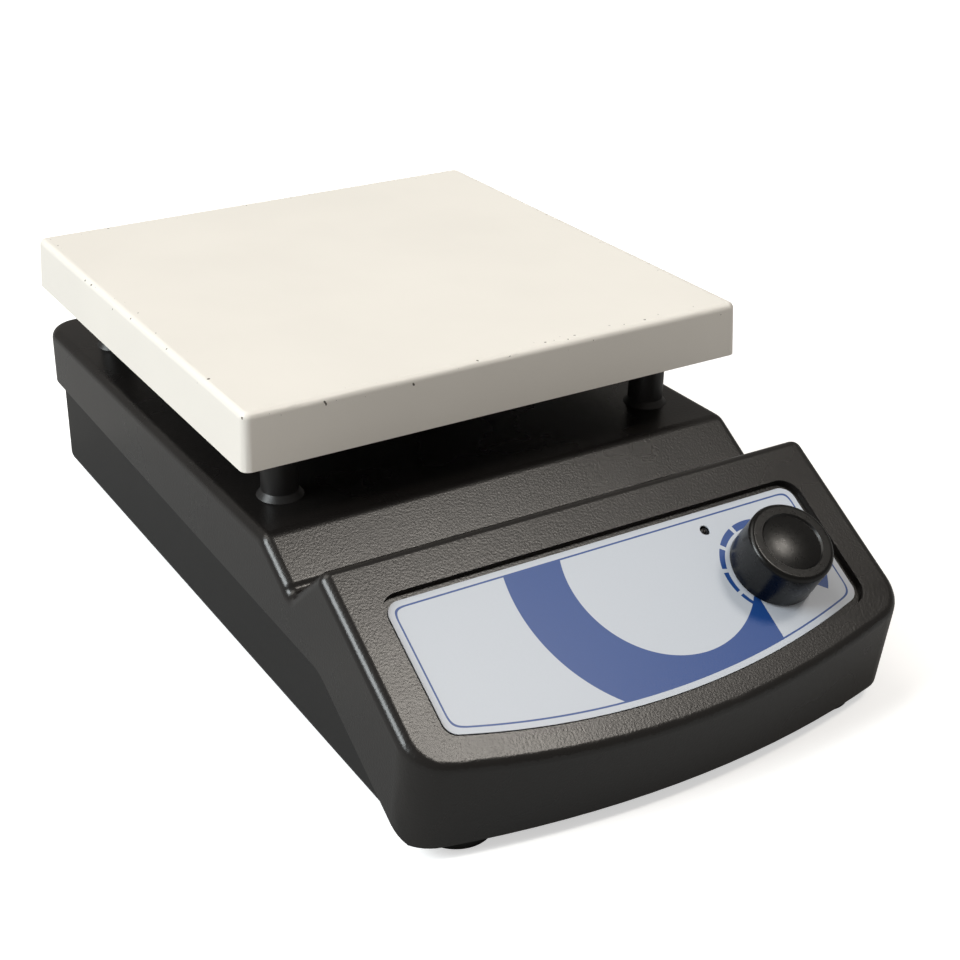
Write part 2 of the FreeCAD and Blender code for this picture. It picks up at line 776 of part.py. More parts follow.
for across in LEFT_RIGHT:
    bores.append(
        cylinder(
            "inlet_hole_%d" % (across + 2),
            SMALL_HOLE,
            "base_wall + 2",
            ("inlet_x + %d * inlet_screw_spread" % across, "%s + 1" % BASE_REAR, "inlet_height"),
            "90",
        )
    )
base_shell = cut("base_shell", joined("base_with_bosses", [base] + bosses), group("base_bores", bores))

# Heating plate: a cast pan with drafted sides, rounded edges and four bosses underneath
plate = new_body("plate")
drawing = new_sketch(plate, "plate_face", at=("0", PLATE_Y, TOP))
draw_outline(drawing, rectangle("(plate_side / 2)", "(plate_side / 2)"))
pan = pad(plate, "plate_block", drawing, "plate_height", reverse=True)
bind(pan, TaperAngle="plate_draft")
doc.recompute()


def drafted_corner(edge, middle, along):
    """The test for the corners of the pan, which lean with its draft."""
    return abs(along.z) > 0.9


def inner_corner(edge, middle, along):
    """The test for the upright corners inside the pan."""
    return upright(edge, middle, along) and abs(middle.x) < value("plate_side / 2 - plate_wall") + 0.01


pan = fillet(plate, "plate_corners", pan, drafted_corner, "plate_corner")
pan = fillet(plate, "plate_top_edge", pan, at_level(TOP), "plate_edge")
drawing = new_sketch(plate, "plate_inside", at=("0", PLATE_Y, RIM))
inside = "(plate_side / 2 - plate_wall)"
draw_outline(drawing, rectangle(inside, inside))
pan = pocket(plate, "plate_hollow", drawing, "plate_height - plate_skin", reverse=True)
pan = fillet(plate, "plate_inside_corners", pan, inner_corner, "plate_corner")
drawing = new_sketch(plate, "plate_bosses", at=("0", "0", SHIELD_TOP))
for across, along in PILLAR_SPOTS:
    draw_circle(drawing, across, along, "plate_boss / 2")
pad(plate, "plate_boss_pads", drawing, "%s - %s + plate_skin / 2" % (CEILING, SHIELD_TOP))
drawing = new_sketch(plate, "plate_boss_holes", at=("0", "0", SHIELD_TOP))
for across, along in PILLAR_SPOTS:
    draw_circle(drawing, across, along, SHANK_HOLE)
pocket(plate, "plate_boss_bores", drawing, "pillar_screw_reach + bore_spare", reverse=True)

# Ring element with two legs that pass down through the deck
ring = doc.addObject("Part::Torus", "element_ring_tube")
bind(ring, Radius1="element_ring", Radius2="element_tube / 2", Angle3="360 - element_gap_angle")
place(ring, ("0", PLATE_Y, ELEMENT_AXIS), "90 + element_gap_angle / 2", FreeCAD.Vector(0, 0, 1))
element = [ring]
for across in LEFT_RIGHT:
    spot = ("%d * %s" % (across, LEG_X), LEG_Y)
    knee = doc.addObject("Part::Sphere", "element_knee_%d" % (across + 2))
    bind(knee, Radius="element_tube / 2")
    place(knee, (spot[0], spot[1], ELEMENT_AXIS))
    height = ELEMENT_AXIS + " - element_leg_end"
    foot = (spot[0], spot[1], "element_leg_end")
    element.append(knee)
    element.append(cylinder("element_leg_%d" % (across + 2), "element_tube / 2", height, foot))
heating_element = joined("heating_element", element)


def leg_holes(name, low, height):
    """Room for the two element legs through a sheet."""
    radius = "element_tube / 2 + element_room"
    spots = [("%d * %s" % (across, LEG_X), LEG_Y, low) for across in LEFT_RIGHT]
    holes = []
    for number, spot in enumerate(spots, start=1):
        holes.append(cylinder("%s_%d" % (name, number), radius, height, spot))
    return holes


# Insulation pad and the tray that holds it up
blank = centred_box(
    "pad_blank",
    "pad_side",
    "pad_side",
    "%s - element_tube - pad_gap - %s" % (CEILING, SHIELD_TOP),
    ("0", PLATE_Y, SHIELD_TOP),
)
pad_holes = leg_holes("pad_hole", SHIELD, CEILING + " - " + SHIELD)
insulation_pad = cut("insulation_pad", blank, group("pad_leg_holes", pad_holes))
shield = new_body("shield")
drawing = new_sketch(shield, "shield_plan", at=("0", PLATE_Y, SHIELD))
draw_outline(drawing, rectangle("(shield_side / 2)", "(shield_side / 2)"))
sheet = pad(shield, "shield_block", drawing, "shield_flange")
sheet = fillet(shield, "shield_corners", sheet, upright, "plate_corner")
hollow_shell(shield, "shield_tray", sheet, faces_up, "shield_sheet")
holes = leg_holes("shield_hole", SHIELD + " - 1", "shield_flange + 1")
for number, (across, along) in enumerate(PILLAR_SPOTS, start=1):
    foot = (across, along, SHIELD + " - 1")
    holes.append(cylinder("shield_bolt_hole_%d" % number, SHANK_HOLE, "shield_flange + 1", foot))
heat_shield = cut("heat_shield", shield, group("shield_holes", holes))

# Four pillars carry the plate over the deck, each on its own screw
PILLAR_LENGTH = "(%s - deck_height)" % SHIELD
PILLAR_NAMES = ("pillar_front_left", "pillar_rear_left", "pillar_front_right", "pillar_rear_right")
pillars = []
for name, (across, along) in zip(PILLAR_NAMES, PILLAR_SPOTS):
    foot = (across, along, "deck_height")
    rod = cylinder(name + "_rod", "pillar_diameter / 2", PILLAR_LENGTH, foot)
    flare = cone(name + "_flare", "pillar_flare / 2", "pillar_diameter / 2", "pillar_flare_height", foot)
    bore = cylinder(name + "_bore", SHANK_HOLE, PILLAR_LENGTH + " + 2", (across, along, "deck_height - 1"))
    pillars.append(cut(name, joined(name + "_solid", [rod, flare]), bore))


def screw_up(name, spot, seat, reach):
    """A screw driven upwards: its head hangs below the seat and its shank reaches above it."""
    foot = (spot[0], spot[1], "%s - screw_head_height" % seat)
    head = cylinder(name + "_head", "screw_head / 2", "screw_head_height", foot)
    shank = cylinder(name + "_shank", "screw_shank / 2", "%s + screw_head_height" % reach, foot)
    return joined(name, [head, shank])


def screws_up(name, spots, seat, reach):
    """A set of such screws under one name."""
    screws = []
    for number, spot in enumerate(spots, start=1):
        screws.append(screw_up("%s_%d" % (name, number), spot, seat, reach))
    return group(name, screws)


PILLAR_REACH = "(%s + pillar_screw_reach - %s)" % (SHIELD_TOP, DECK_UNDER)
pillar_screws = screws_up("pillar_screws", PILLAR_SPOTS, DECK_UNDER, PILLAR_REACH)
CASE_SEAT = "(foot_height + case_head_depth)"
CASE_REACH = "(case_boss_top + case_screw_reach - %s)" % CASE_SEAT
case_screws = screws_up("case_screws", CASE_SPOTS, CASE_SEAT, CASE_REACH)
FOOT_REACH = "(foot_height - foot_head_depth + foot_boss_height)"
foot_screws = screws_up("foot_screws", FOOT_SPOTS, "foot_head_depth", FOOT_REACH)

# Rubber feet with a sunk screw
FOOT_NAMES = ("foot_front_left", "foot_rear_left", "foot_front_right", "foot_rear_right")
feet = []
for name, (across, along) in zip(FOOT_NAMES, FOOT_SPOTS):
    low = "foot_diameter / 2 - foot_flare"
    puck = cone(name + "_puck", low, "foot_diameter / 2", "foot_height", (across, along, "0"))
    sink = cylinder(name + "_sink", HEAD_HOLE, "foot_head_depth + 1", (across, along, "0 - 1"))
    bore = cylinder(name + "_bore", SHANK_HOLE, "foot_height + 2", (across, along, "0 - 1"))
    feet.append(cut(name, puck, group(name + "_holes", [sink, bore])))

# Ceramic bushes that line the deck where the element legs pass
BUSH_NAMES = ("leg_bush_left", "leg_bush_right")
bushes = []
for name, across in zip(BUSH_NAMES, LEFT_RIGHT):
    spot = ("%d * %s" % (across, LEG_X), LEG_Y)
    seat = (spot[0], spot[1], "deck_height")
    root = (spot[0], spot[1], "deck_height - bush_depth")
    collar = cylinder(name + "_collar", "bush_flange / 2", "bush_flange_height", seat)
    neck = cylinder(name + "_neck", "bush_neck / 2", "bush_depth + bush_flange_height / 2", root)
    way = cylinder(
        name + "_way",
        "element_tube / 2 + bush_play",
        "bush_depth + bush_flange_height + 2",
        (spot[0], spot[1], "deck_height - bush_depth - 1"),
    )
    bushes.append(cut(name, joined(name + "_form", [collar, neck]), way))

# Printed label in the recess
label = new_body("label")
drawing = panel_sketch(label, "label_plan", LABEL_FLOOR)
draw_outline(drawing, *label_outline("0"))
foil = pad(label, "label_foil", drawing, "label_sheet")
foil = fillet(label, "label_corners", foil, square_to_panel("label_sheet"), "label_corner")
drawing = panel_sketch(label, "label_holes", LABEL_FACE)
draw_circle(drawing, "knob_x", "0 - knob_down", "thread_diameter / 2 + thread_play")
draw_circle(drawing, "lamp_x", "0 - lamp_down", "lamp_diameter / 2 + thread_play")
pocket(label, "label_hole_cut", drawing, "label_sheet + 1")

# Knob, modelled upright on its own axis and seated on the panel
KNOB_FOOT = "(%s + knob_float)" % LABEL_FACE
KNOB_TOP = "(%s + knob_height)" % KNOB_FOOT
HUB_FOOT = "(%s + knob_skirt_depth)" % KNOB_FOOT


def revolve(body, name, drawing):
    """A full turn of a half section about the body's upright axis."""
    feature = body.newObject("PartDesign::Revolution", name)
    feature.Profile = drawing
    feature.ReferenceAxis = ([item for item in body.Origin.OriginFeatures if item.Role == "Z_Axis"][0], [""])
    feature.Angle = 360
    doc.recompute()
    return feature


def on_knob_axis(item):
    return at_panel(item, "knob_x", KNOB_Y, KNOB_Z)


knob_body = new_body("knob_form")
DOME_FOOT = "(%s - knob_step + knob_dome)" % KNOB_TOP
section = [
    ("(knob_skirt_bore / 2)", KNOB_FOOT),
    ("(knob_diameter / 2)", KNOB_FOOT),
    ("(knob_top_diameter / 2)", KNOB_TOP),
    ("(knob_step_diameter / 2)", KNOB_TOP),
    ("(knob_step_diameter / 2 - knob_step)", KNOB_TOP + " - knob_step"),
    ("0", DOME_FOOT),
    ("0", HUB_FOOT),
    ("(knob_skirt_bore / 2)", HUB_FOOT),
]
FACE_RADIUS = "(knob_step_diameter / 2 - knob_step)"
DOME_RADIUS = "((%s ^ 2 + knob_dome ^ 2) / (2 * knob_dome))" % FACE_RADIUS
drawing = new_sketch(knob_body, "knob_section", "XZ_Plane")
draw_outline(drawing, section, {section.index(("0", DOME_FOOT)) - 1: DOME_RADIUS})
turned = revolve(knob_body, "knob_turned", drawing)


def outer_top(edge, middle, along):
    """The test for the outer edge of the knob's face."""
    reach = edge.BoundBox.XMax - value("knob_top_diameter / 2")
    return abs(reach) < 0.01 and abs(middle.z - value(KNOB_TOP)) < 0.01


fillet(knob_body, "knob_top_edge", turned, outer_top, "knob_edge")
KNOB_BORE_TOP = "(%s + knob_bore_depth)" % KNOB_FOOT
SHAFT_HOLE = "(shaft_diameter / 2 + shaft_play)"
drill = cylinder("knob_drill", SHAFT_HOLE, KNOB_BORE_TOP + " - " + KNOB_FOOT, ("0", "0", KNOB_FOOT))
key = box(
    "knob_key",
    "2 * shaft_diameter",
    "2 * shaft_diameter",
    "knob_height",
    ("0 - shaft_diameter", "shaft_diameter / 2 - shaft_flat + shaft_play", HUB_FOOT),
)
bore_form = cut("knob_bore", drill, key)
grub_way = cylinder(
    "grub_way",
    "grub_diameter / 2 + shaft_play",
    "knob_diameter",
    ("0", "0", KNOB_FOOT + " + grub_height"),
    "-90",
)
knob = on_knob_axis(cut("knob", knob_body, group("knob_bores", [bore_form, grub_way])))
GRUB_SEAT = "(shaft_diameter / 2 - shaft_flat + shaft_play)"
seat = ("0", GRUB_SEAT, KNOB_FOOT + " + grub_height")
grub = cylinder("grub_pin", "grub_diameter / 2", "grub_length", seat, "-90")
grub_screw = on_knob_axis(group("grub_screw", [grub]))

# Spindle with a flat for the knob
SHAFT_TOP = "(%s - shaft_end_room)" % KNOB_BORE_TOP
SHAFT_FOOT = "(%s - shaft_back)" % PANEL_UNDER
SHAFT_LENGTH = "(%s - %s)" % (SHAFT_TOP, SHAFT_FOOT)
rod = cylinder("spindle_rod", "shaft_diameter / 2", SHAFT_LENGTH, ("0", "0", SHAFT_FOOT))
flat = box(
    "spindle_flat",
    "2 * shaft_diameter",
    "2 * shaft_diameter",
    "knob_height",
    ("0 - shaft_diameter", "shaft_diameter / 2 - shaft_flat", HUB_FOOT + " - shaft_end_room"),
)
control_spindle = on_knob_axis(cut("control_spindle", rod, flat))

# Potentiometer: can behind the panel and threaded neck through it, with washer and nut on the label
THREAD_TOP = "(%s + thread_length)" % PANEL_UNDER
can = cylinder("pot_can", "pot_diameter / 2", "pot_length", ("0", "0", PANEL_UNDER + " - pot_length"))
root = ("0", "0", PANEL_UNDER + " - pot_length / 2")
neck = cylinder("pot_neck", "thread_diameter / 2", "thread_length + pot_length / 2", root)
terminals = box(
    "pot_terminals",
    "terminal_width",
    "terminal_length",
    "terminal_sheet",
    ("0 - terminal_width / 2", "pot_diameter / 2 - terminal_root", PANEL_UNDER + " - pot_length / 2"),
)
foot = ("0", "0", SHAFT_FOOT + " - shaft_end_room")
way = cylinder("pot_way", SHAFT_HOLE, THREAD_TOP + " - " + SHAFT_FOOT + " + 1", foot)
potentiometer = on_knob_axis(cut("potentiometer", joined("pot_form", [can, neck, terminals]), way))
disc = cylinder("washer_disc", "washer_diameter / 2", "washer_sheet", ("0", "0", LABEL_FACE))
THREAD_HOLE = "(thread_diameter / 2 + thread_play / 2)"
foot = ("0", "0", LABEL_FACE + " - 1")
hole = cylinder("washer_hole", THREAD_HOLE, "washer_sheet + 2", foot)
pot_washer = on_knob_axis(cut("pot_washer", disc, hole))
hexagon = doc.addObject("Part::Prism", "nut_prism")
hexagon.Polygon = 6
bind(hexagon, Circumradius="nut_width / 2 / cos(30)", Height="nut_height")
place(hexagon, ("0", "0", LABEL_FACE + " + washer_sheet"))
hole = cylinder("nut_hole", THREAD_HOLE, "washer_sheet + nut_height + 2", foot)
pot_nut = on_knob_axis(cut("pot_nut", hexagon, hole))


# Indicator lamp in its ring, which clips into the panel from behind
def on_lamp_axis(item):
    return at_panel(item, "lamp_x", LAMP_Y, LAMP_Z)


LAMP_SHOULDER = "(%s - lamp_diameter / 2)" % LABEL_FACE
foot = ("0", "0", LAMP_SHOULDER + " - lamp_length")
stem = cylinder("lamp_stem", "lamp_diameter / 2", "lamp_length", foot)
dome = doc.addObject("Part::Sphere", "lamp_dome")
bind(dome, Radius="lamp_diameter / 2")
place(dome, ("0", "0", LAMP_SHOULDER))
indicator_lamp = on_lamp_axis(joined("indicator_lamp", [stem, dome]))
LAMP_FOOT = "(%s - lamp_length)" % LABEL_FLOOR
ring_body = cylinder("ring_tube", "lamp_ring / 2", "lamp_length", ("0", "0", LAMP_FOOT))
seat = ("0", "0", PANEL_UNDER + " - washer_sheet")
ring_flange = cylinder("ring_flange", "lamp_flange / 2", "washer_sheet", seat)
mouth = ("0", "0", LAMP_FOOT + " - 1")
ring_hole = cylinder("ring_hole", "lamp_diameter / 2 + shaft_play", "lamp_length + 2", mouth)
lamp_holder = on_lamp_axis(cut("lamp_holder", joined("ring_form", [ring_body, ring_flange]), ring_hole))

# Control board on four spacers
spacers = []
for number, (across, along) in enumerate(BOARD_SPOTS, start=1):
    foot = (across, along, FLOOR)
    tube = cylinder("spacer_tube_%d" % number, "spacer_diameter / 2", "spacer_height", foot)
    mouth = (across, along, FLOOR + " - 1")
    hole = cylinder("spacer_hole_%d" % number, SMALL_HOLE, "spacer_height + 2", mouth)
    spacers.append(cut("spacer_%d" % number, tube, hole))
board_spacers = group("board_spacers", spacers)
blank = centred_box("board_blank", "board_x", "board_y", "board_sheet", ("0", "board_centre_y", BOARD_Z))
holes = [
    cylinder("board_hole_%d" % number, SMALL_HOLE, "board_sheet + 2", (across, along, BOARD_Z + " - 1"))
    for number, (across, along) in enumerate(BOARD_SPOTS, start=1)
]
control_board = cut("control_board", blank, group("board_holes", holes))
board_screw_parts = []
for number, (across, along) in enumerate(BOARD_SPOTS, start=1):
    seat = (across, along, BOARD_TOP)
    head = cylinder("board_screw_head_%d" % number, "small_head / 2", "small_head_height", seat)
    foot = (across, along, BOARD_Z + " - small_reach")
    height = "small_reach + board_sheet + small_head_height"
    shank = cylinder("board_screw_shank_%d" % number, "small_shank / 2", height, foot)
    board_screw_parts.append(joined("board_screw_%d" % number, [head, shank]))
board_screws = group("board_screws", board_screw_parts)

# Finned heat sink with the triac against its back
sink = new_body("sink")
SINK_REAR = "(board_centre_y + board_y / 2 - sink_inset)"
drawing = new_sketch(sink, "sink_plan", at=("0", "0", BOARD_TOP))
draw_outline(
    drawing,
    rectangle("(sink_x / 2)", "(sink_back / 2)", "0", "(%s - sink_back / 2)" % SINK_REAR),
)
pad(sink, "sink_back_plate", drawing, "sink_height")
drawing = new_sketch(sink, "sink_fin_plan", at=("0", "0", BOARD_TOP))
draw_outline(
    drawing,
    rectangle(
        "(sink_fin / 2)",
        "(sink_y / 2)",
        "(0 - sink_fin_pitch * (sink_fin_count - 1) / 2)",
        "(%s - sink_y / 2)" % SINK_REAR,
    ),
)
fin = pad(sink, "sink_fin_pad", drawing, "sink_height")
pattern(sink, "sink_fins", fin, "X_Axis", "sink_fin_pitch", "sink_fin_count")
triac = centred_box(
    "power_triac",
    "triac_x",
    "triac_sheet",
    "triac_height",
    ("0", "%s + triac_sheet / 2" % SINK_REAR, BOARD_TOP),
)
capacitor = centred_box(
    "filter_capacitor",
    "capacitor_x",
    "capacitor_y",
    "capacitor_height",
    ("0 - board_x / 5", "%s - sink_y - capacitor_gap - capacitor_y / 2" % SINK_REAR, BOARD_TOP),
)
choke = doc.addObject("Part::Torus", "filter_choke")
bind(choke, Radius1="choke_ring", Radius2="choke_tube")
CHOKE_Y = "(%s - sink_y - capacitor_gap - choke_ring)" % SINK_REAR
place(choke, ("board_x / 5", CHOKE_Y, BOARD_TOP + " + choke_tube"))

# Terminal block on the floor with its row of ways
block_form = new_body("block_form")
drawing = new_sketch(block_form, "block_plan", at=("0", "0", FLOOR))
BLOCK_Y = "(cover_length / 2 - block_end_inset)"
draw_outline(drawing, rectangle("(block_x / 2)", "(block_y / 2)", "block_at_x", BLOCK_Y))
pad(block_form, "block_pad", drawing, "block_height")
drawing = new_sketch(block_form, "block_way", at=("0", "0", FLOOR + " + block_height"))
draw_circle(drawing, "block_at_x - block_pitch * (block_ways - 1) / 2", BLOCK_Y, "block_entry / 2")
entry = pocket(block_form, "block_entry_cut", drawing, "block_height / 2")
pattern(block_form, "block_entries", entry, "X_Axis", "block_pitch", "block_ways")

# Overheat cut-out against the underside of the deck
CUTOUT_Y = "(%s + cutout_rise)" % PLATE_Y
foot = ("cutout_x", CUTOUT_Y, DECK_UNDER + " - cutout_height")
cap = cylinder("cutout_cap", "cutout_diameter / 2", "cutout_height", foot)
tabs = centred_box(
    "cutout_tabs",
    "cutout_diameter + 2 * cutout_tab_reach",
    "cutout_tab_width",
    "cutout_tab_sheet",
    ("cutout_x", CUTOUT_Y, DECK_UNDER + " - cutout_tab_sheet"),
)
thermal_cutout = joined("thermal_cutout", [cap, tabs])

# Mains inlet: flange on the rear wall, body through it, socket and fuse drawer one above the other
flange = centred_box(
    "inlet_flange",
    "inlet_flange_width",
    SEAM,
    "inlet_flange_height",
    ("inlet_x", "%s - %s / 2" % (INLET_FACE, SEAM), "inlet_height - inlet_flange_height / 2"),
)
housing = centred_box(
    "inlet_housing",
    "inlet_body_width",
    "inlet_body_depth",
    "inlet_body_height",
    ("inlet_x", "%s - inlet_body_depth / 2" % INLET_FACE, "inlet_height - inlet_body_height / 2"),
)
socket = new_body("socket_form")
drawing = new_sketch(socket, "socket_outline", "XZ_Plane", at=("0", "0", "0 - %s - 1" % INLET_FACE))
SOCKET_TOP = "(inlet_height + socket_rise + socket_height / 2)"
SOCKET_FOOT = "(inlet_height + socket_rise - socket_height / 2)"
SOCKET_HALF = "(socket_width / 2)"
draw_outline(
    drawing,
    [
        ("inlet_x - " + SOCKET_HALF, SOCKET_FOOT),
        ("inlet_x + " + SOCKET_HALF, SOCKET_FOOT),
        ("inlet_x + " + SOCKET_HALF, SOCKET_TOP + " - socket_chamfer"),
        ("inlet_x + %s - socket_chamfer" % SOCKET_HALF, SOCKET_TOP),
        ("inlet_x - %s + socket_chamfer" % SOCKET_HALF, SOCKET_TOP),
        ("inlet_x - " + SOCKET_HALF, SOCKET_TOP + " - socket_chamfer"),
    ],
)
pad(socket, "socket_pad", drawing, "socket_depth + 1")
drawer_slot = centred_box(
    "drawer_slot",
    "drawer_width + 2 * drawer_play",
    "drawer_depth + 1",
    "drawer_height + 2 * drawer_play",
    (
        "inlet_x",
        "%s - drawer_depth / 2 + 1 / 2" % INLET_FACE,
        "inlet_height - drawer_fall - drawer_height / 2 - drawer_play",
    ),
)
PIN_SPOTS = (("inlet_x - pin_spread", -1), ("inlet_x + pin_spread", -1), ("inlet_x", 1))
PIN_BACK = "(%s - inlet_body_depth)" % INLET_FACE


def pins(name, grow, length):
    """The three flat pins, or the slots that hold them when grown."""
    return [
        centred_box(
            "%s_%d" % (name, number),
            "pin_width + 2 * " + grow,
            length,
            "pin_height + 2 * " + grow,
            (
                across,
                "%s + %s / 2 - pin_tail" % (PIN_BACK, length),
                "inlet_height + socket_rise + %d * pin_offset - pin_height / 2 - %s" % (rise, grow),
            ),
        )
        for number, (across, rise) in enumerate(PIN_SPOTS, start=1)
    ]


inlet_pins = group("inlet_pins", pins("inlet_pin", "0", "(pin_length + pin_tail)"))
inlet_bores = [socket, drawer_slot] + pins("pin_slot", "shaft_play", "(pin_length + pin_tail)")
for across in LEFT_RIGHT:
    spot = "inlet_x + %d * inlet_screw_spread" % across
    mouth = (spot, INLET_FACE + " + 1", "inlet_height")
    bore = cylinder("flange_bore_%d" % (across + 2), SMALL_HOLE, "inlet_screw_length", mouth, "90")
    sink_cone = cone(
        "flange_sink_%d" % (across + 2),
        "small_head / 2 + screw_play",
        SMALL_HOLE,
        "small_head_height",
        (spot, INLET_FACE, "inlet_height"),
        "90",
    )
    inlet_bores.extend([bore, sink_cone])
mains_inlet = cut("mains_inlet", joined("inlet_form", [flange, housing]), group("inlet_bores", inlet_bores))
fuse_drawer = centred_box(
    "fuse_drawer",
    "drawer_width",
    "drawer_depth",
    "drawer_height",
    ("inlet_x", "%s - drawer_depth / 2" % INLET_FACE, "inlet_height - drawer_fall - drawer_height / 2"),
)
countersunk = []
nuts = []
for across in LEFT_RIGHT:
    spot = "inlet_x + %d * inlet_screw_spread" % across
    head = cone(
        "inlet_screw_head_%d" % (across + 2),
        "small_head / 2",
        "small_shank / 2",
        "small_head_height",
        (spot, INLET_FACE, "inlet_height"),
        "90",
    )
    face = (spot, INLET_FACE, "inlet_height")
    number = across + 2
    shank = cylinder("inlet_screw_shank_%d" % number, "small_shank / 2", "inlet_screw_length", face, "90")
    countersunk.append(joined("inlet_screw_%d" % (across + 2), [head, shank]))
    prism = doc.addObject("Part::Prism", "inlet_nut_prism_%d" % (across + 2))
    prism.Polygon = 6
    bind(prism, Circumradius="small_head / 2 / cos(30)", Height="small_head_height")
    place(prism, (spot, BASE_REAR + " - base_wall", "inlet_height"), "90")
    hole = cylinder("inlet_nut_hole_%d" % (across + 2), SMALL_HOLE, "inlet_screw_length + 1", face, "90")
    nuts.append(cut("inlet_nut_%d" % (across + 2), prism, hole))
inlet_screws = group("inlet_screws", countersunk)
inlet_nuts = group("inlet_nuts", nuts)

# Every finished piece under the name of its file
PIECES = {
    "heating_plate": plate,
    "heating_element": heating_element,
    "insulation_pad": insulation_pad,
    "heat_shield": heat_shield,
    "pillar_screws": pillar_screws,
    "top_cover": top_cover,
    "base_shell": base_shell,
    "case_screws": case_screws,
    "foot_screws": foot_screws,
    "control_label": label,
    "knob": knob,
    "grub_screw": grub_screw,
    "control_spindle": control_spindle,
    "potentiometer": potentiometer,
    "pot_washer": pot_washer,
    "pot_nut": pot_nut,
    "indicator_lamp": indicator_lamp,
    "lamp_holder": lamp_holder,
    "control_board": control_board,
    "board_spacers": board_spacers,
    "board_screws": board_screws,
    "triac_heatsink": sink,
    "power_triac": triac,
    "filter_capacitor": capacitor,
    "filter_choke": choke,
    "terminal_block": block_form,
    "thermal_cutout": thermal_cutout,
    "mains_inlet": mains_inlet,
    "inlet_pins": inlet_pins,
    "fuse_drawer": fuse_drawer,
    "inlet_screws": inlet_screws,
    "inlet_nuts": inlet_nuts,
}
PIECES.update(zip(PILLAR_NAMES, pillars))
PIECES.update(zip(FOOT_NAMES, feet))
PIECES.update(zip(BUSH_NAMES, bushes))
doc.recompute()

for item in doc.Objects:
    if "Invalid" in item.State or "Error" in item.State:
        raise ValueError("%s did not compute" % item.Name)
os.makedirs("parts", exist_ok=True)
for name, piece in PIECES.items():
    piece.Label = name
    shape = piece.Shape
    if shape.isNull() or not shape.isValid() or not shape.Solids:
        raise ValueError(name + " has no valid solid")
    shape.exportStep("parts/%s.step" % name)
    print("%-20s %2d solids %10.1f mm3" % (name, len(shape.Solids), shape.Volume))
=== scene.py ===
import json
import math

import bmesh
import bpy
import numpy as np
from mathutils import Matrix, Vector

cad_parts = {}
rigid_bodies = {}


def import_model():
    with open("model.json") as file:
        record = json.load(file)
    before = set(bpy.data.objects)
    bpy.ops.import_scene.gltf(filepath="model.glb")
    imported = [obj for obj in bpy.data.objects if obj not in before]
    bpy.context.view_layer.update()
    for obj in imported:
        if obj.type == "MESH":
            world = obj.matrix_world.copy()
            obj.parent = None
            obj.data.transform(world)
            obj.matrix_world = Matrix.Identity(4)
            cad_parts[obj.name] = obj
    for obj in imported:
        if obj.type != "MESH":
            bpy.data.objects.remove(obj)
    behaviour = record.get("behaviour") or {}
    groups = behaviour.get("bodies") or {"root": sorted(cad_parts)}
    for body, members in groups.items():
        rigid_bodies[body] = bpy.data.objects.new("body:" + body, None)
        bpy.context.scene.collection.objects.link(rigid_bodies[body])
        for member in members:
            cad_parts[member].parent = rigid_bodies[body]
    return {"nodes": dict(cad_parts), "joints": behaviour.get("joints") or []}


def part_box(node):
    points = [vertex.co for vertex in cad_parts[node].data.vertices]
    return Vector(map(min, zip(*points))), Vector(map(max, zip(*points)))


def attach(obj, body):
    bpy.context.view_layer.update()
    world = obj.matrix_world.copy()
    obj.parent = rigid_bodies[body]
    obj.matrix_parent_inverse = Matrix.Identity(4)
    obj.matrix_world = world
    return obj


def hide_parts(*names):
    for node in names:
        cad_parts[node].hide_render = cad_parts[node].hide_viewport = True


bl_info = {
    "name": "Laboratory hot plate",
    "version": (1, 0, 0),
    "blender": (4, 5, 0),
    "location": "View3D > Sidebar > Hot plate",
    "description": "Dresses the constructed hot plate with finishes, print, fittings and a studio stage",
    "category": "Add Mesh",
}

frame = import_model()
NODES = frame["nodes"]
MM = 0.001
HOUSING = "housing"
CONTROL = "control"
JOINT = [joint for joint in frame["joints"] if joint["name"] == "heat_control"][0]

# The knob's axis points out of the panel; the panel's own axes are across, up the slope, and out
OUTWARD = -Vector(JOINT["axis"]).normalized()
ACROSS = Vector((1.0, 0.0, 0.0))
UPHILL = OUTWARD.cross(ACROSS).normalized()
KNOB_AT = Vector(JOINT["pos_m"])

# Corners closer than this are one corner
MERGE = 0.001 * MM

# Chips in the plate's coating: where they begin and are full, in from the rim, and how far down they go
CHIP_START = 7.0 * MM
CHIP_FULL = 3.0 * MM
CHIP_DEPTH = 3.0 * MM

# Printing: the softness of a printed edge, and the share of its step that each mark of the dial fills
PRINT_EDGE = 0.07 * MM
MARK_SHARE = 0.84

# Each light's direction from the part, strength, angular size in degrees, and colour
LIGHTS = {
    "key": ((-0.81, 0.12, 0.57), 2.45, 30.0, (0.92, 0.98, 1.0)),
    "sheen": ((0.39, -0.24, 0.89), 0.72, 12.0, (1.0, 0.94, 0.86)),
    "top": ((-0.35, 0.35, 0.87), 0.85, 40.0, (1.0, 0.96, 0.89)),
}
SKY = (0.22, 0.208, 0.193, 1.0)
WHITE = (1.0, 1.0, 1.0, 1.0)
BLACK = (0.0, 0.0, 0.0, 1.0)

# The floor's half side in metres, the share of light that it throws back on the part,
# and how much it glows in the picture
FLOOR_REACH = 6.0
FLOOR_BOUNCE = 0.42
FLOOR_GLOW = 0.55

# Camera solved from the plate's edges: angles in degrees, its place from the middle of the plate's top,
# and the focal length and optical centre in pixels of the picture
CAMERA = {
    "azimuth": -29.77,
    "elevation": 27.17,
    "aside": 13.97 * MM,
    "below": -75.70 * MM,
    "distance": 578.28 * MM,
    "focal": 1652.15,
    "centre_x": 409.35,
    "centre_y": 484.65,
}
PICTURE = 960.0
SENSOR = 36.0


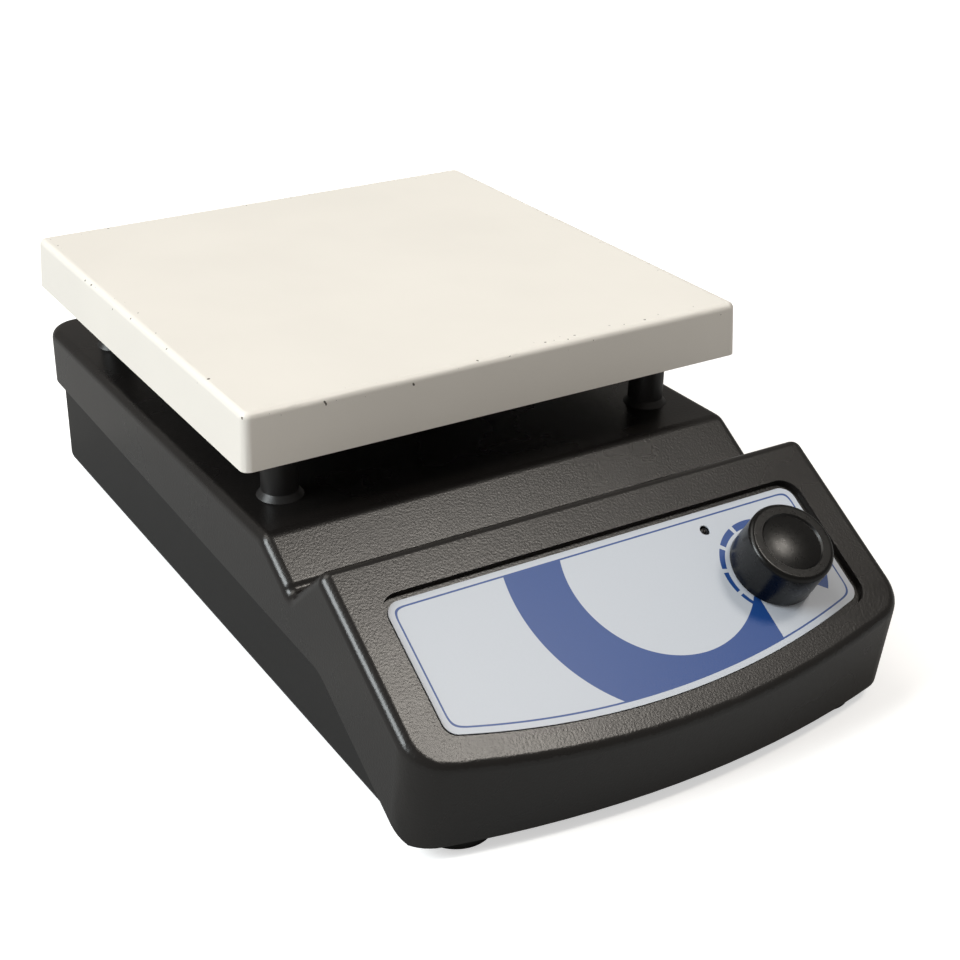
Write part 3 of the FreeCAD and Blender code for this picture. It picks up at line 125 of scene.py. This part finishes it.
def linear(red, green, blue):
    """The scene colour of a colour given as three numbers from 0 to 255."""

    def one(level):
        share = level / 255.0
        return share / 12.92 if share <= 0.04045 else ((share + 0.055) / 1.055) ** 2.4

    return (one(red), one(green), one(blue), 1.0)


def tint(name, text, value):
    """A colour property."""
    return bpy.props.FloatVectorProperty(
        name=name, description=text, subtype="COLOR", size=4, min=0.0, max=1.0, default=value
    )


def length(name, text, value):
    """A length property, given in millimetres."""
    return bpy.props.FloatProperty(
        name=name, description=text, unit="LENGTH", default=value * MM, precision=5
    )


class HotPlateSizes(bpy.types.PropertyGroup):
    """Places and sizes of the print on the label, across it and down from its top edge."""

    side_height: length("Side height", "Height of the label at its sides", 41.5)
    border_inset: length("Border inset", "How far the border line stands in from the edge", 2.1)
    border_width: length("Border width", "Width of the border line", 0.55)
    border_turn: length("Border turn", "Rounding of the border line's corners", 5.0)
    band_across: length("Band across", "Centre of the band to the right of the label's middle", 14.5)
    band_down: length("Band down", "Centre of the band below the top edge", 12.0)
    band_inner: length("Band inner radius", "Radius of the band's inner edge", 31.0)
    band_outer: length("Band outer radius", "Radius of the band's outer edge", 50.0)
    band_end: length("Band end", "Where the band stops on the right", 40.0)
    dial_inner: length("Dial inner radius", "Inner radius of the marks round the knob", 14.9)
    dial_thin: length("Dial start width", "Width of the first mark", 1.0)
    dial_thick: length("Dial growth", "How much wider the last mark is than the first", 3.0)
    dial_sweep: bpy.props.FloatProperty(
        name="Dial sweep",
        description="Angle that the marks cover",
        unit="ROTATION",
        default=math.radians(270.0),
    )
    dial_marks: bpy.props.IntProperty(name="Dial marks", description="Number of marks", default=9)


class HotPlateColours(bpy.types.PropertyGroup):
    """Colours of the finishes."""

    plate: tint("Plate", "Heat-proof coating of the plate", linear(249, 244, 236))
    chip: tint("Chip", "Bare spots in the coating", linear(96, 88, 80))
    housing: tint("Housing", "Satin paint of the cover", linear(27, 25, 24))
    base: tint("Base", "Moulded base shell", linear(14, 13, 13))
    film: tint("Film", "Ground of the printed label", linear(204, 210, 220))
    print_blue: tint("Print", "Blue of the printed label", linear(30, 74, 144))
    knob: tint("Knob", "Moulded knob", linear(4, 4, 4))
    pillar: tint("Pillar", "Blackened pillars", linear(34, 33, 33))
    rubber: tint("Rubber", "Feet", linear(28, 28, 29))
    floor: tint("Floor", "Pale floor", linear(252, 252, 252))


class Signal:
    """A shader socket that takes part in arithmetic; each operation adds a Math node."""

    def __init__(self, finish, socket):
        self.finish = finish
        self.socket = socket

    def math(self, operation, *others):
        values = dict(enumerate((self,) + others))
        return self.finish.node("ShaderNodeMath", {"operation": operation}, values)[0]

    def __add__(self, other):
        return self.math("ADD", other)

    def __sub__(self, other):
        return self.math("SUBTRACT", other)

    def __rsub__(self, other):
        return self.finish.constant(other).math("SUBTRACT", self)

    def __mul__(self, other):
        return self.math("MULTIPLY", other)

    def __truediv__(self, other):
        return self.math("DIVIDE", other)

    def __rtruediv__(self, other):
        return self.finish.constant(other).math("DIVIDE", self)

    def __pow__(self, other):
        return self.math("POWER", other)

    def __abs__(self):
        return self.math("ABSOLUTE")

    def __gt__(self, other):
        return self.math("GREATER_THAN", other)

    def __lt__(self, other):
        return self.math("LESS_THAN", other)

    def __and__(self, other):
        return self.math("MINIMUM", other)

    def __or__(self, other):
        return self.math("MAXIMUM", other)

    __radd__ = __add__
    __rmul__ = __mul__


class Finish:
    """A material under construction, with one method that adds any node."""

    def __init__(self, name):
        self.material = bpy.data.materials.new(name)
        self.material.use_nodes = True
        self.tree = self.material.node_tree
        self.tree.nodes.clear()
        self.shader = self.tree.nodes.new("ShaderNodeBsdfPrincipled")
        output = self.tree.nodes.new("ShaderNodeOutputMaterial")
        self.tree.links.new(self.shader.outputs["BSDF"], output.inputs["Surface"])

    def node(self, kind, settings=None, values=None):
        """Adds a node, makes its settings, then feeds its sockets; gives its outputs as signals."""
        item = self.tree.nodes.new(kind)
        for key, value in (settings or {}).items():
            setattr(item, key, value)
        for key, value in (values or {}).items():
            self.feed(item.inputs[key], value)
        return [Signal(self, socket) for socket in item.outputs]

    def feed(self, socket, value):
        """Links a signal to a socket, or sets a constant on it."""
        if isinstance(value, Signal):
            self.tree.links.new(value.socket, socket)
        else:
            socket.default_value = value

    def constant(self, number):
        """A signal that holds one number."""
        return self.node("ShaderNodeMath", {"operation": "ADD"}, {0: number, 1: 0.0})[0]

    def set(self, **values):
        """Feeds the shader's sockets, named with underscores for spaces."""
        for key, value in values.items():
            self.feed(self.shader.inputs[key.replace("_", " ")], value)
        return self

    def place(self):
        """Object coordinates."""
        return self.node("ShaderNodeTexCoord")[3]

    def parts(self, vector):
        """The three numbers of a vector."""
        return self.node("ShaderNodeSeparateXYZ", None, {0: vector})

    def noise(self, scale, detail):
        """Noise from 0 to 1 with its scale in cycles per metre."""
        values = {"Vector": self.place(), "Scale": scale, "Detail": detail}
        return self.node("ShaderNodeTexNoise", {"noise_dimensions": "3D"}, values)[0]

    def mix(self, factor, first, second):
        """A colour between two colours."""
        values = {0: factor, 6: first, 7: second}
        return self.node("ShaderNodeMix", {"data_type": "RGBA"}, values)[2]

    def bump(self, height, strength, distance):
        """A normal that follows a height."""
        values = {"Height": height, "Strength": strength, "Distance": distance}
        return self.node("ShaderNodeBump", None, values)[0]

    def smooth_step(self, value, low, high):
        """Rises from 0 to 1 between two values."""
        values = {"Value": value, "From Min": low, "From Max": high}
        return self.node("ShaderNodeMapRange", {"interpolation_type": "SMOOTHSTEP"}, values)[0]


def colours():
    """The add-on's colours."""
    return bpy.context.scene.hot_plate_colours


def sizes():
    """The add-on's sizes."""
    return bpy.context.scene.hot_plate_sizes


def shade(colour, factor):
    """The same colour made lighter or darker."""
    return tuple(min(1.0, part * factor) for part in colour[:3]) + (1.0,)


def dress(name, material):
    """Gives a constructed node its finish."""
    materials = NODES[name].data.materials
    materials.clear()
    materials.append(material)


def refined(name, material, angle=30.0):
    """A merged, smooth-shaded copy of a constructed node that stands for it, with the same shape."""
    source = NODES[name]
    mesh = source.data.copy()
    form = bmesh.new()
    form.from_mesh(mesh)
    bmesh.ops.remove_doubles(form, verts=form.verts, dist=MERGE)
    limit = math.radians(angle)
    for edge in form.edges:
        edge.smooth = len(edge.link_faces) == 2 and edge.calc_face_angle(0.0) < limit
    for face in form.faces:
        face.smooth = True
    form.to_mesh(mesh)
    form.free()
    piece = bpy.data.objects.new(name + "_finish", mesh)
    bpy.context.scene.collection.objects.link(piece)
    mesh.materials.clear()
    mesh.materials.append(material)
    weighted = piece.modifiers.new("even_shading", "WEIGHTED_NORMAL")
    weighted.keep_sharp = True
    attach(piece, CONTROL if source.parent.name.endswith(CONTROL) else HOUSING)
    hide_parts(name)


def coated_plate():
    """Off-white heat-proof coating: faint orange peel, warm clouding and a few small chips near the rim."""
    finish = Finish("plate_coating")
    base = tuple(colours().plate)
    cloud = finish.smooth_step(finish.noise(18.0, 3.0), 0.3, 0.7)
    fine = finish.noise(900.0, 2.0)
    peel = finish.noise(260.0, 2.0)
    low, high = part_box("heating_plate")
    across, along, level = finish.parts(finish.place())
    middle = (low[1] + high[1]) / 2
    reach = (high[0] - low[0]) / 2
    from_rim = reach - (abs(across) | abs(along - middle))
    near_rim = finish.smooth_step(from_rim, CHIP_START, CHIP_FULL) & (level > high[2] - CHIP_DEPTH)
    spots = finish.smooth_step(finish.noise(620.0, 0.0), 0.80, 0.83) * near_rim
    tone = finish.mix(cloud, base, shade(base, 0.97))
    return finish.set(
        Base_Color=finish.mix(spots, tone, tuple(colours().chip)),
        Roughness=fine * 0.08 + 0.36 + spots * 0.3,
        Normal=finish.bump(peel, 0.06, 0.6 * MM),
        Coat_Weight=0.12,
        Coat_Roughness=0.3,
    ).material


def label_film():
    """Printed film: a pale ground, a border line, a curved band and growing marks round the knob."""
    size = sizes()
    finish = Finish("label_film")
    spots = np.array([corner.co for corner in NODES["control_label"].data.vertices])
    heights = spots @ np.array(UPHILL)
    top = float(heights.max())
    half = float(np.abs(spots[:, 0]).max())
    sag = top - float(heights.min()) - size.side_height
    bow = (half**2 + sag**2) / (2 * sag)
    place = finish.place()
    across = finish.parts(place)[0]
    uphill = {0: place, 1: tuple(UPHILL)}
    down = top - finish.node("ShaderNodeVectorMath", {"operation": "DOT_PRODUCT"}, uphill)[1]

    def inside(distance, limit):
        """1 where a distance is under a limit, with a soft edge."""
        return finish.smooth_step(distance - limit, PRINT_EDGE, -PRINT_EDGE)

    def away(centre_across, centre_down):
        """The distance from a point of the label."""
        return ((across - centre_across) ** 2.0 + (down - centre_down) ** 2.0) ** 0.5

    foot = bow - away(0.0, size.side_height + sag - bow)
    sides = half - abs(across)
    inset = sides.math("SMOOTH_MIN", down & foot, size.border_turn)
    border = inside(abs(inset - size.border_inset), size.border_width / 2)
    ring = away(size.band_across, size.band_down)
    band = inside(ring, size.band_outer) & inside(size.band_inner, ring) & inside(size.border_inset, inset)
    band = band & inside(across, size.band_end) & (inside(across, 0.0) | inside(size.band_down, down))

    knob_across = KNOB_AT.x
    knob_down = top - KNOB_AT.dot(UPHILL)
    radius = away(knob_across, knob_down)
    turn = (across - knob_across).math("ARCTAN2", knob_down - down)
    travel = turn / size.dial_sweep + 0.5
    marks = (travel * float(size.dial_marks)).math("FRACT") < MARK_SHARE
    widest = travel * size.dial_thick + (size.dial_inner + size.dial_thin)
    dial = inside(radius, widest) & inside(size.dial_inner, radius) & marks
    dial = dial & (travel > 0.0) & (travel < 1.0)

    fine = finish.noise(1500.0, 2.0)
    printed = border | band | dial
    ground = finish.mix(fine, shade(colours().film, 0.985), shade(colours().film, 1.015))
    ink = finish.mix(fine, shade(colours().print_blue, 0.96), shade(colours().print_blue, 1.04))
    return finish.set(
        Base_Color=finish.mix(printed, ground, ink),
        Roughness=fine * 0.05 + 0.34,
        Normal=finish.bump(fine, 0.03, 0.1 * MM),
    ).material


def painted(name, colour, rough, grain):
    """Satin paint on a casting: fine grain, slight unevenness of sheen."""
    finish = Finish(name)
    cloud = finish.noise(25.0, 3.0)
    speck = finish.noise(1400.0, 1.0)
    tone = finish.mix(finish.smooth_step(cloud, 0.3, 0.7), shade(colour, 0.92), shade(colour, 1.1))
    return finish.set(
        Base_Color=tone,
        Roughness=cloud * 0.1 + (rough - 0.05),
        Normal=finish.bump(speck, grain, 0.3 * MM),
    ).material


def plain(name, colour, rough, metallic=0.0, scale=300.0, gloss=0.5):
    """A finish with a little variation of tone, sheen and surface."""
    finish = Finish(name)
    wave = finish.noise(scale, 3.0)
    return finish.set(
        Base_Color=finish.mix(wave, shade(colour, 0.88), shade(colour, 1.12)),
        Roughness=wave * 0.12 + (rough - 0.06),
        Metallic=metallic,
        Specular_IOR_Level=gloss,
        Normal=finish.bump(wave, 0.05, 0.4 * MM),
    ).material


class HOTPLATE_OT_plate(bpy.types.Operator):
    """Finish the heating plate"""

    bl_idname = "hotplate.plate"
    bl_label = "Heating plate"

    def execute(self, context):
        refined("heating_plate", coated_plate(), 35.0)
        return {"FINISHED"}


class HOTPLATE_OT_housing(bpy.types.Operator):
    """Finish the cover and the base"""

    bl_idname = "hotplate.housing"
    bl_label = "Housing"

    def execute(self, context):
        refined("top_cover", painted("cover_paint", tuple(colours().housing), 0.28, 0.14))
        refined("base_shell", painted("base_paint", tuple(colours().base), 0.5, 0.08))
        return {"FINISHED"}


class HOTPLATE_OT_label(bpy.types.Operator):
    """Finish the printed label"""

    bl_idname = "hotplate.label"
    bl_label = "Label"

    def execute(self, context):
        refined("control_label", label_film())
        return {"FINISHED"}


class HOTPLATE_OT_control(bpy.types.Operator):
    """Finish the knob and what it turns"""

    bl_idname = "hotplate.control"
    bl_label = "Knob"

    def execute(self, context):
        refined("knob", plain("knob_moulding", tuple(colours().knob), 0.29, scale=700.0, gloss=0.38))
        dress("grub_screw", plain("grub_steel", linear(90, 90, 92), 0.35, 1.0))
        dress("control_spindle", plain("spindle_brass", linear(190, 165, 110), 0.35, 1.0))
        return {"FINISHED"}


class HOTPLATE_OT_supports(bpy.types.Operator):
    """Finish the pillars, the tray, the element and its bushes"""

    bl_idname = "hotplate.supports"
    bl_label = "Supports and heater"

    def execute(self, context):
        steel = plain("blackened_steel", tuple(colours().pillar), 0.42)
        for name in ("pillar_front_left", "pillar_rear_left", "pillar_front_right", "pillar_rear_right"):
            refined(name, steel)
        refined("heat_shield", plain("tray_steel", linear(60, 60, 62), 0.5, 1.0))
        dress("insulation_pad", plain("fibre_board", linear(205, 198, 182), 0.95))
        refined("heating_element", plain("element_sheath", linear(110, 106, 102), 0.45, 1.0))
        bush = plain("steatite", linear(214, 208, 196), 0.5)
        for name in ("leg_bush_left", "leg_bush_right"):
            refined(name, bush)
        return {"FINISHED"}


class HOTPLATE_OT_fittings(bpy.types.Operator):
    """Finish the feet, the screws, the mains inlet and the inner pieces"""

    bl_idname = "hotplate.fittings"
    bl_label = "Fittings"

    def execute(self, context):
        zinc = plain("zinc_plate", linear(175, 176, 178), 0.35, 1.0)
        for place in ("pillar", "case", "foot", "board", "inlet"):
            dress(place + "_screws", zinc)
        for name in ("inlet_nuts", "pot_washer", "pot_nut"):
            dress(name, zinc)
        rubber = plain("rubber", tuple(colours().rubber), 0.8)
        for name in ("foot_front_left", "foot_rear_left", "foot_front_right", "foot_rear_right"):
            refined(name, rubber)
        black = plain("black_moulding", linear(32, 32, 33), 0.45)
        for name in ("lamp_holder", "mains_inlet", "fuse_drawer", "power_triac"):
            refined(name, black)
        refined("indicator_lamp", plain("lamp_lens", linear(20, 18, 18), 0.2))
        dress("inlet_pins", plain("pin_brass", linear(200, 180, 130), 0.3, 1.0))
        dress("potentiometer", plain("pot_can", linear(165, 165, 160), 0.4, 1.0))
        dress("control_board", plain("solder_mask", linear(30, 92, 52), 0.4))
        nylon = plain("nylon", linear(226, 224, 214), 0.6)
        for name in ("board_spacers", "filter_capacitor", "terminal_block"):
            dress(name, nylon)
        dress("triac_heatsink", plain("extruded_alloy", linear(190, 192, 194), 0.4, 1.0))
        dress("filter_choke", plain("winding", linear(170, 100, 60), 0.4, 0.8))
        dress("thermal_cutout", plain("cutout_steel", linear(150, 150, 150), 0.4, 1.0))
        return {"FINISHED"}


class HOTPLATE_OT_stage(bpy.types.Operator):
    """Make the floor, the lights and the camera"""

    bl_idname = "hotplate.stage"
    bl_label = "Stage"

    def execute(self, context):
        self.floor()
        for name, values in LIGHTS.items():
            self.light(name, *values)
        self.world()
        self.camera()
        context.scene.view_settings.view_transform = "Standard"
        return {"FINISHED"}

    def floor(self):
        """A flat square, z = 0 everywhere, its corners at plus and minus its reach."""
        mesh = bpy.data.meshes.new("floor")
        grid = np.array([(-1, -1, 0), (1, -1, 0), (1, 1, 0), (-1, 1, 0)]) * FLOOR_REACH
        mesh.from_pydata(grid.tolist(), [], [(0, 1, 2, 3)])
        piece = bpy.data.objects.new("floor", mesh)
        bpy.context.scene.collection.objects.link(piece)
        finish = Finish("floor_paper")
        tone = tuple(colours().floor)
        seen = finish.node("ShaderNodeLightPath")[0]
        finish.set(
            Base_Color=finish.mix(seen, shade(tone, FLOOR_BOUNCE), tone),
            Roughness=0.9,
            Specular_IOR_Level=0.0,
            Emission_Color=finish.mix(seen, BLACK, shade(tone, FLOOR_GLOW)),
            Emission_Strength=1.0,
        )
        mesh.materials.append(finish.material)

    def light(self, name, toward, strength, spread, colour):
        """A distant light that shines from one direction."""
        lamp = bpy.data.lights.new(name, "SUN")
        lamp.energy = strength
        lamp.color = colour
        lamp.angle = math.radians(spread)
        item = bpy.data.objects.new(name, lamp)
        item.rotation_mode = "QUATERNION"
        item.rotation_quaternion = Vector(toward).to_track_quat("Z", "Y")
        bpy.context.scene.collection.objects.link(item)

    def world(self):
        """An even sky: full white to the camera, dimmer as light on the part."""
        world = bpy.data.worlds.new("studio")
        world.use_nodes = True
        tree = world.node_tree
        tree.nodes.clear()
        path = tree.nodes.new("ShaderNodeLightPath")
        tone = tree.nodes.new("ShaderNodeMix")
        tone.data_type = "RGBA"
        tree.links.new(path.outputs["Is Camera Ray"], tone.inputs[0])
        tone.inputs[6].default_value = SKY
        tone.inputs[7].default_value = WHITE
        back = tree.nodes.new("ShaderNodeBackground")
        tree.links.new(tone.outputs[2], back.inputs["Color"])
        output = tree.nodes.new("ShaderNodeOutputWorld")
        tree.links.new(back.outputs[0], output.inputs[0])
        bpy.context.scene.world = world

    def camera(self):
        """The camera that took the photograph, placed from the plate."""
        azimuth = math.radians(CAMERA["azimuth"])
        elevation = math.radians(CAMERA["elevation"])
        level = math.cos(elevation)
        back = Vector((math.sin(azimuth) * level, -math.cos(azimuth) * level, math.sin(elevation)))
        right = (-back).cross(Vector((0, 0, 1))).normalized()
        up = right.cross(-back)
        low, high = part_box("heating_plate")
        target = Vector(((low[0] + high[0]) / 2, (low[1] + high[1]) / 2, high[2]))
        place = target + right * CAMERA["aside"] + up * CAMERA["below"] + back * CAMERA["distance"]
        lens = bpy.data.cameras.new("camera")
        lens.sensor_width = SENSOR
        lens.lens = CAMERA["focal"] / PICTURE * SENSOR
        lens.shift_x = (PICTURE / 2 - CAMERA["centre_x"]) / PICTURE
        lens.shift_y = (CAMERA["centre_y"] - PICTURE / 2) / PICTURE
        item = bpy.data.objects.new("camera", lens)
        turn = Matrix((right, up, back)).transposed().to_4x4()
        item.matrix_world = Matrix.Translation(place) @ turn
        bpy.context.scene.collection.objects.link(item)
        bpy.context.scene.camera = item


OPERATORS = (
    HOTPLATE_OT_stage,
    HOTPLATE_OT_plate,
    HOTPLATE_OT_housing,
    HOTPLATE_OT_label,
    HOTPLATE_OT_control,
    HOTPLATE_OT_supports,
    HOTPLATE_OT_fittings,
)


class HOTPLATE_PT_panel(bpy.types.Panel):
    """Lists the steps that dress the hot plate"""

    bl_idname = "HOTPLATE_PT_panel"
    bl_label = "Hot plate"
    bl_space_type = "VIEW_3D"
    bl_region_type = "UI"
    bl_category = "Hot plate"

    def draw(self, context):
        for operator in OPERATORS:
            self.layout.operator(operator.bl_idname)


CLASSES = (HotPlateSizes, HotPlateColours) + OPERATORS + (HOTPLATE_PT_panel,)


def register():
    for item in CLASSES:
        bpy.utils.register_class(item)
    bpy.types.Scene.hot_plate_sizes = bpy.props.PointerProperty(type=HotPlateSizes)
    bpy.types.Scene.hot_plate_colours = bpy.props.PointerProperty(type=HotPlateColours)


def unregister():
    del bpy.types.Scene.hot_plate_colours
    del bpy.types.Scene.hot_plate_sizes
    for item in reversed(CLASSES):
        bpy.utils.unregister_class(item)


def main():
    """Registers the add-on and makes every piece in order."""
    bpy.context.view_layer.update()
    register()
    for operator in OPERATORS:
        group, name = operator.bl_idname.split(".")
        getattr(getattr(bpy.ops, group), name)()


if __name__ == "__main__":
    main()
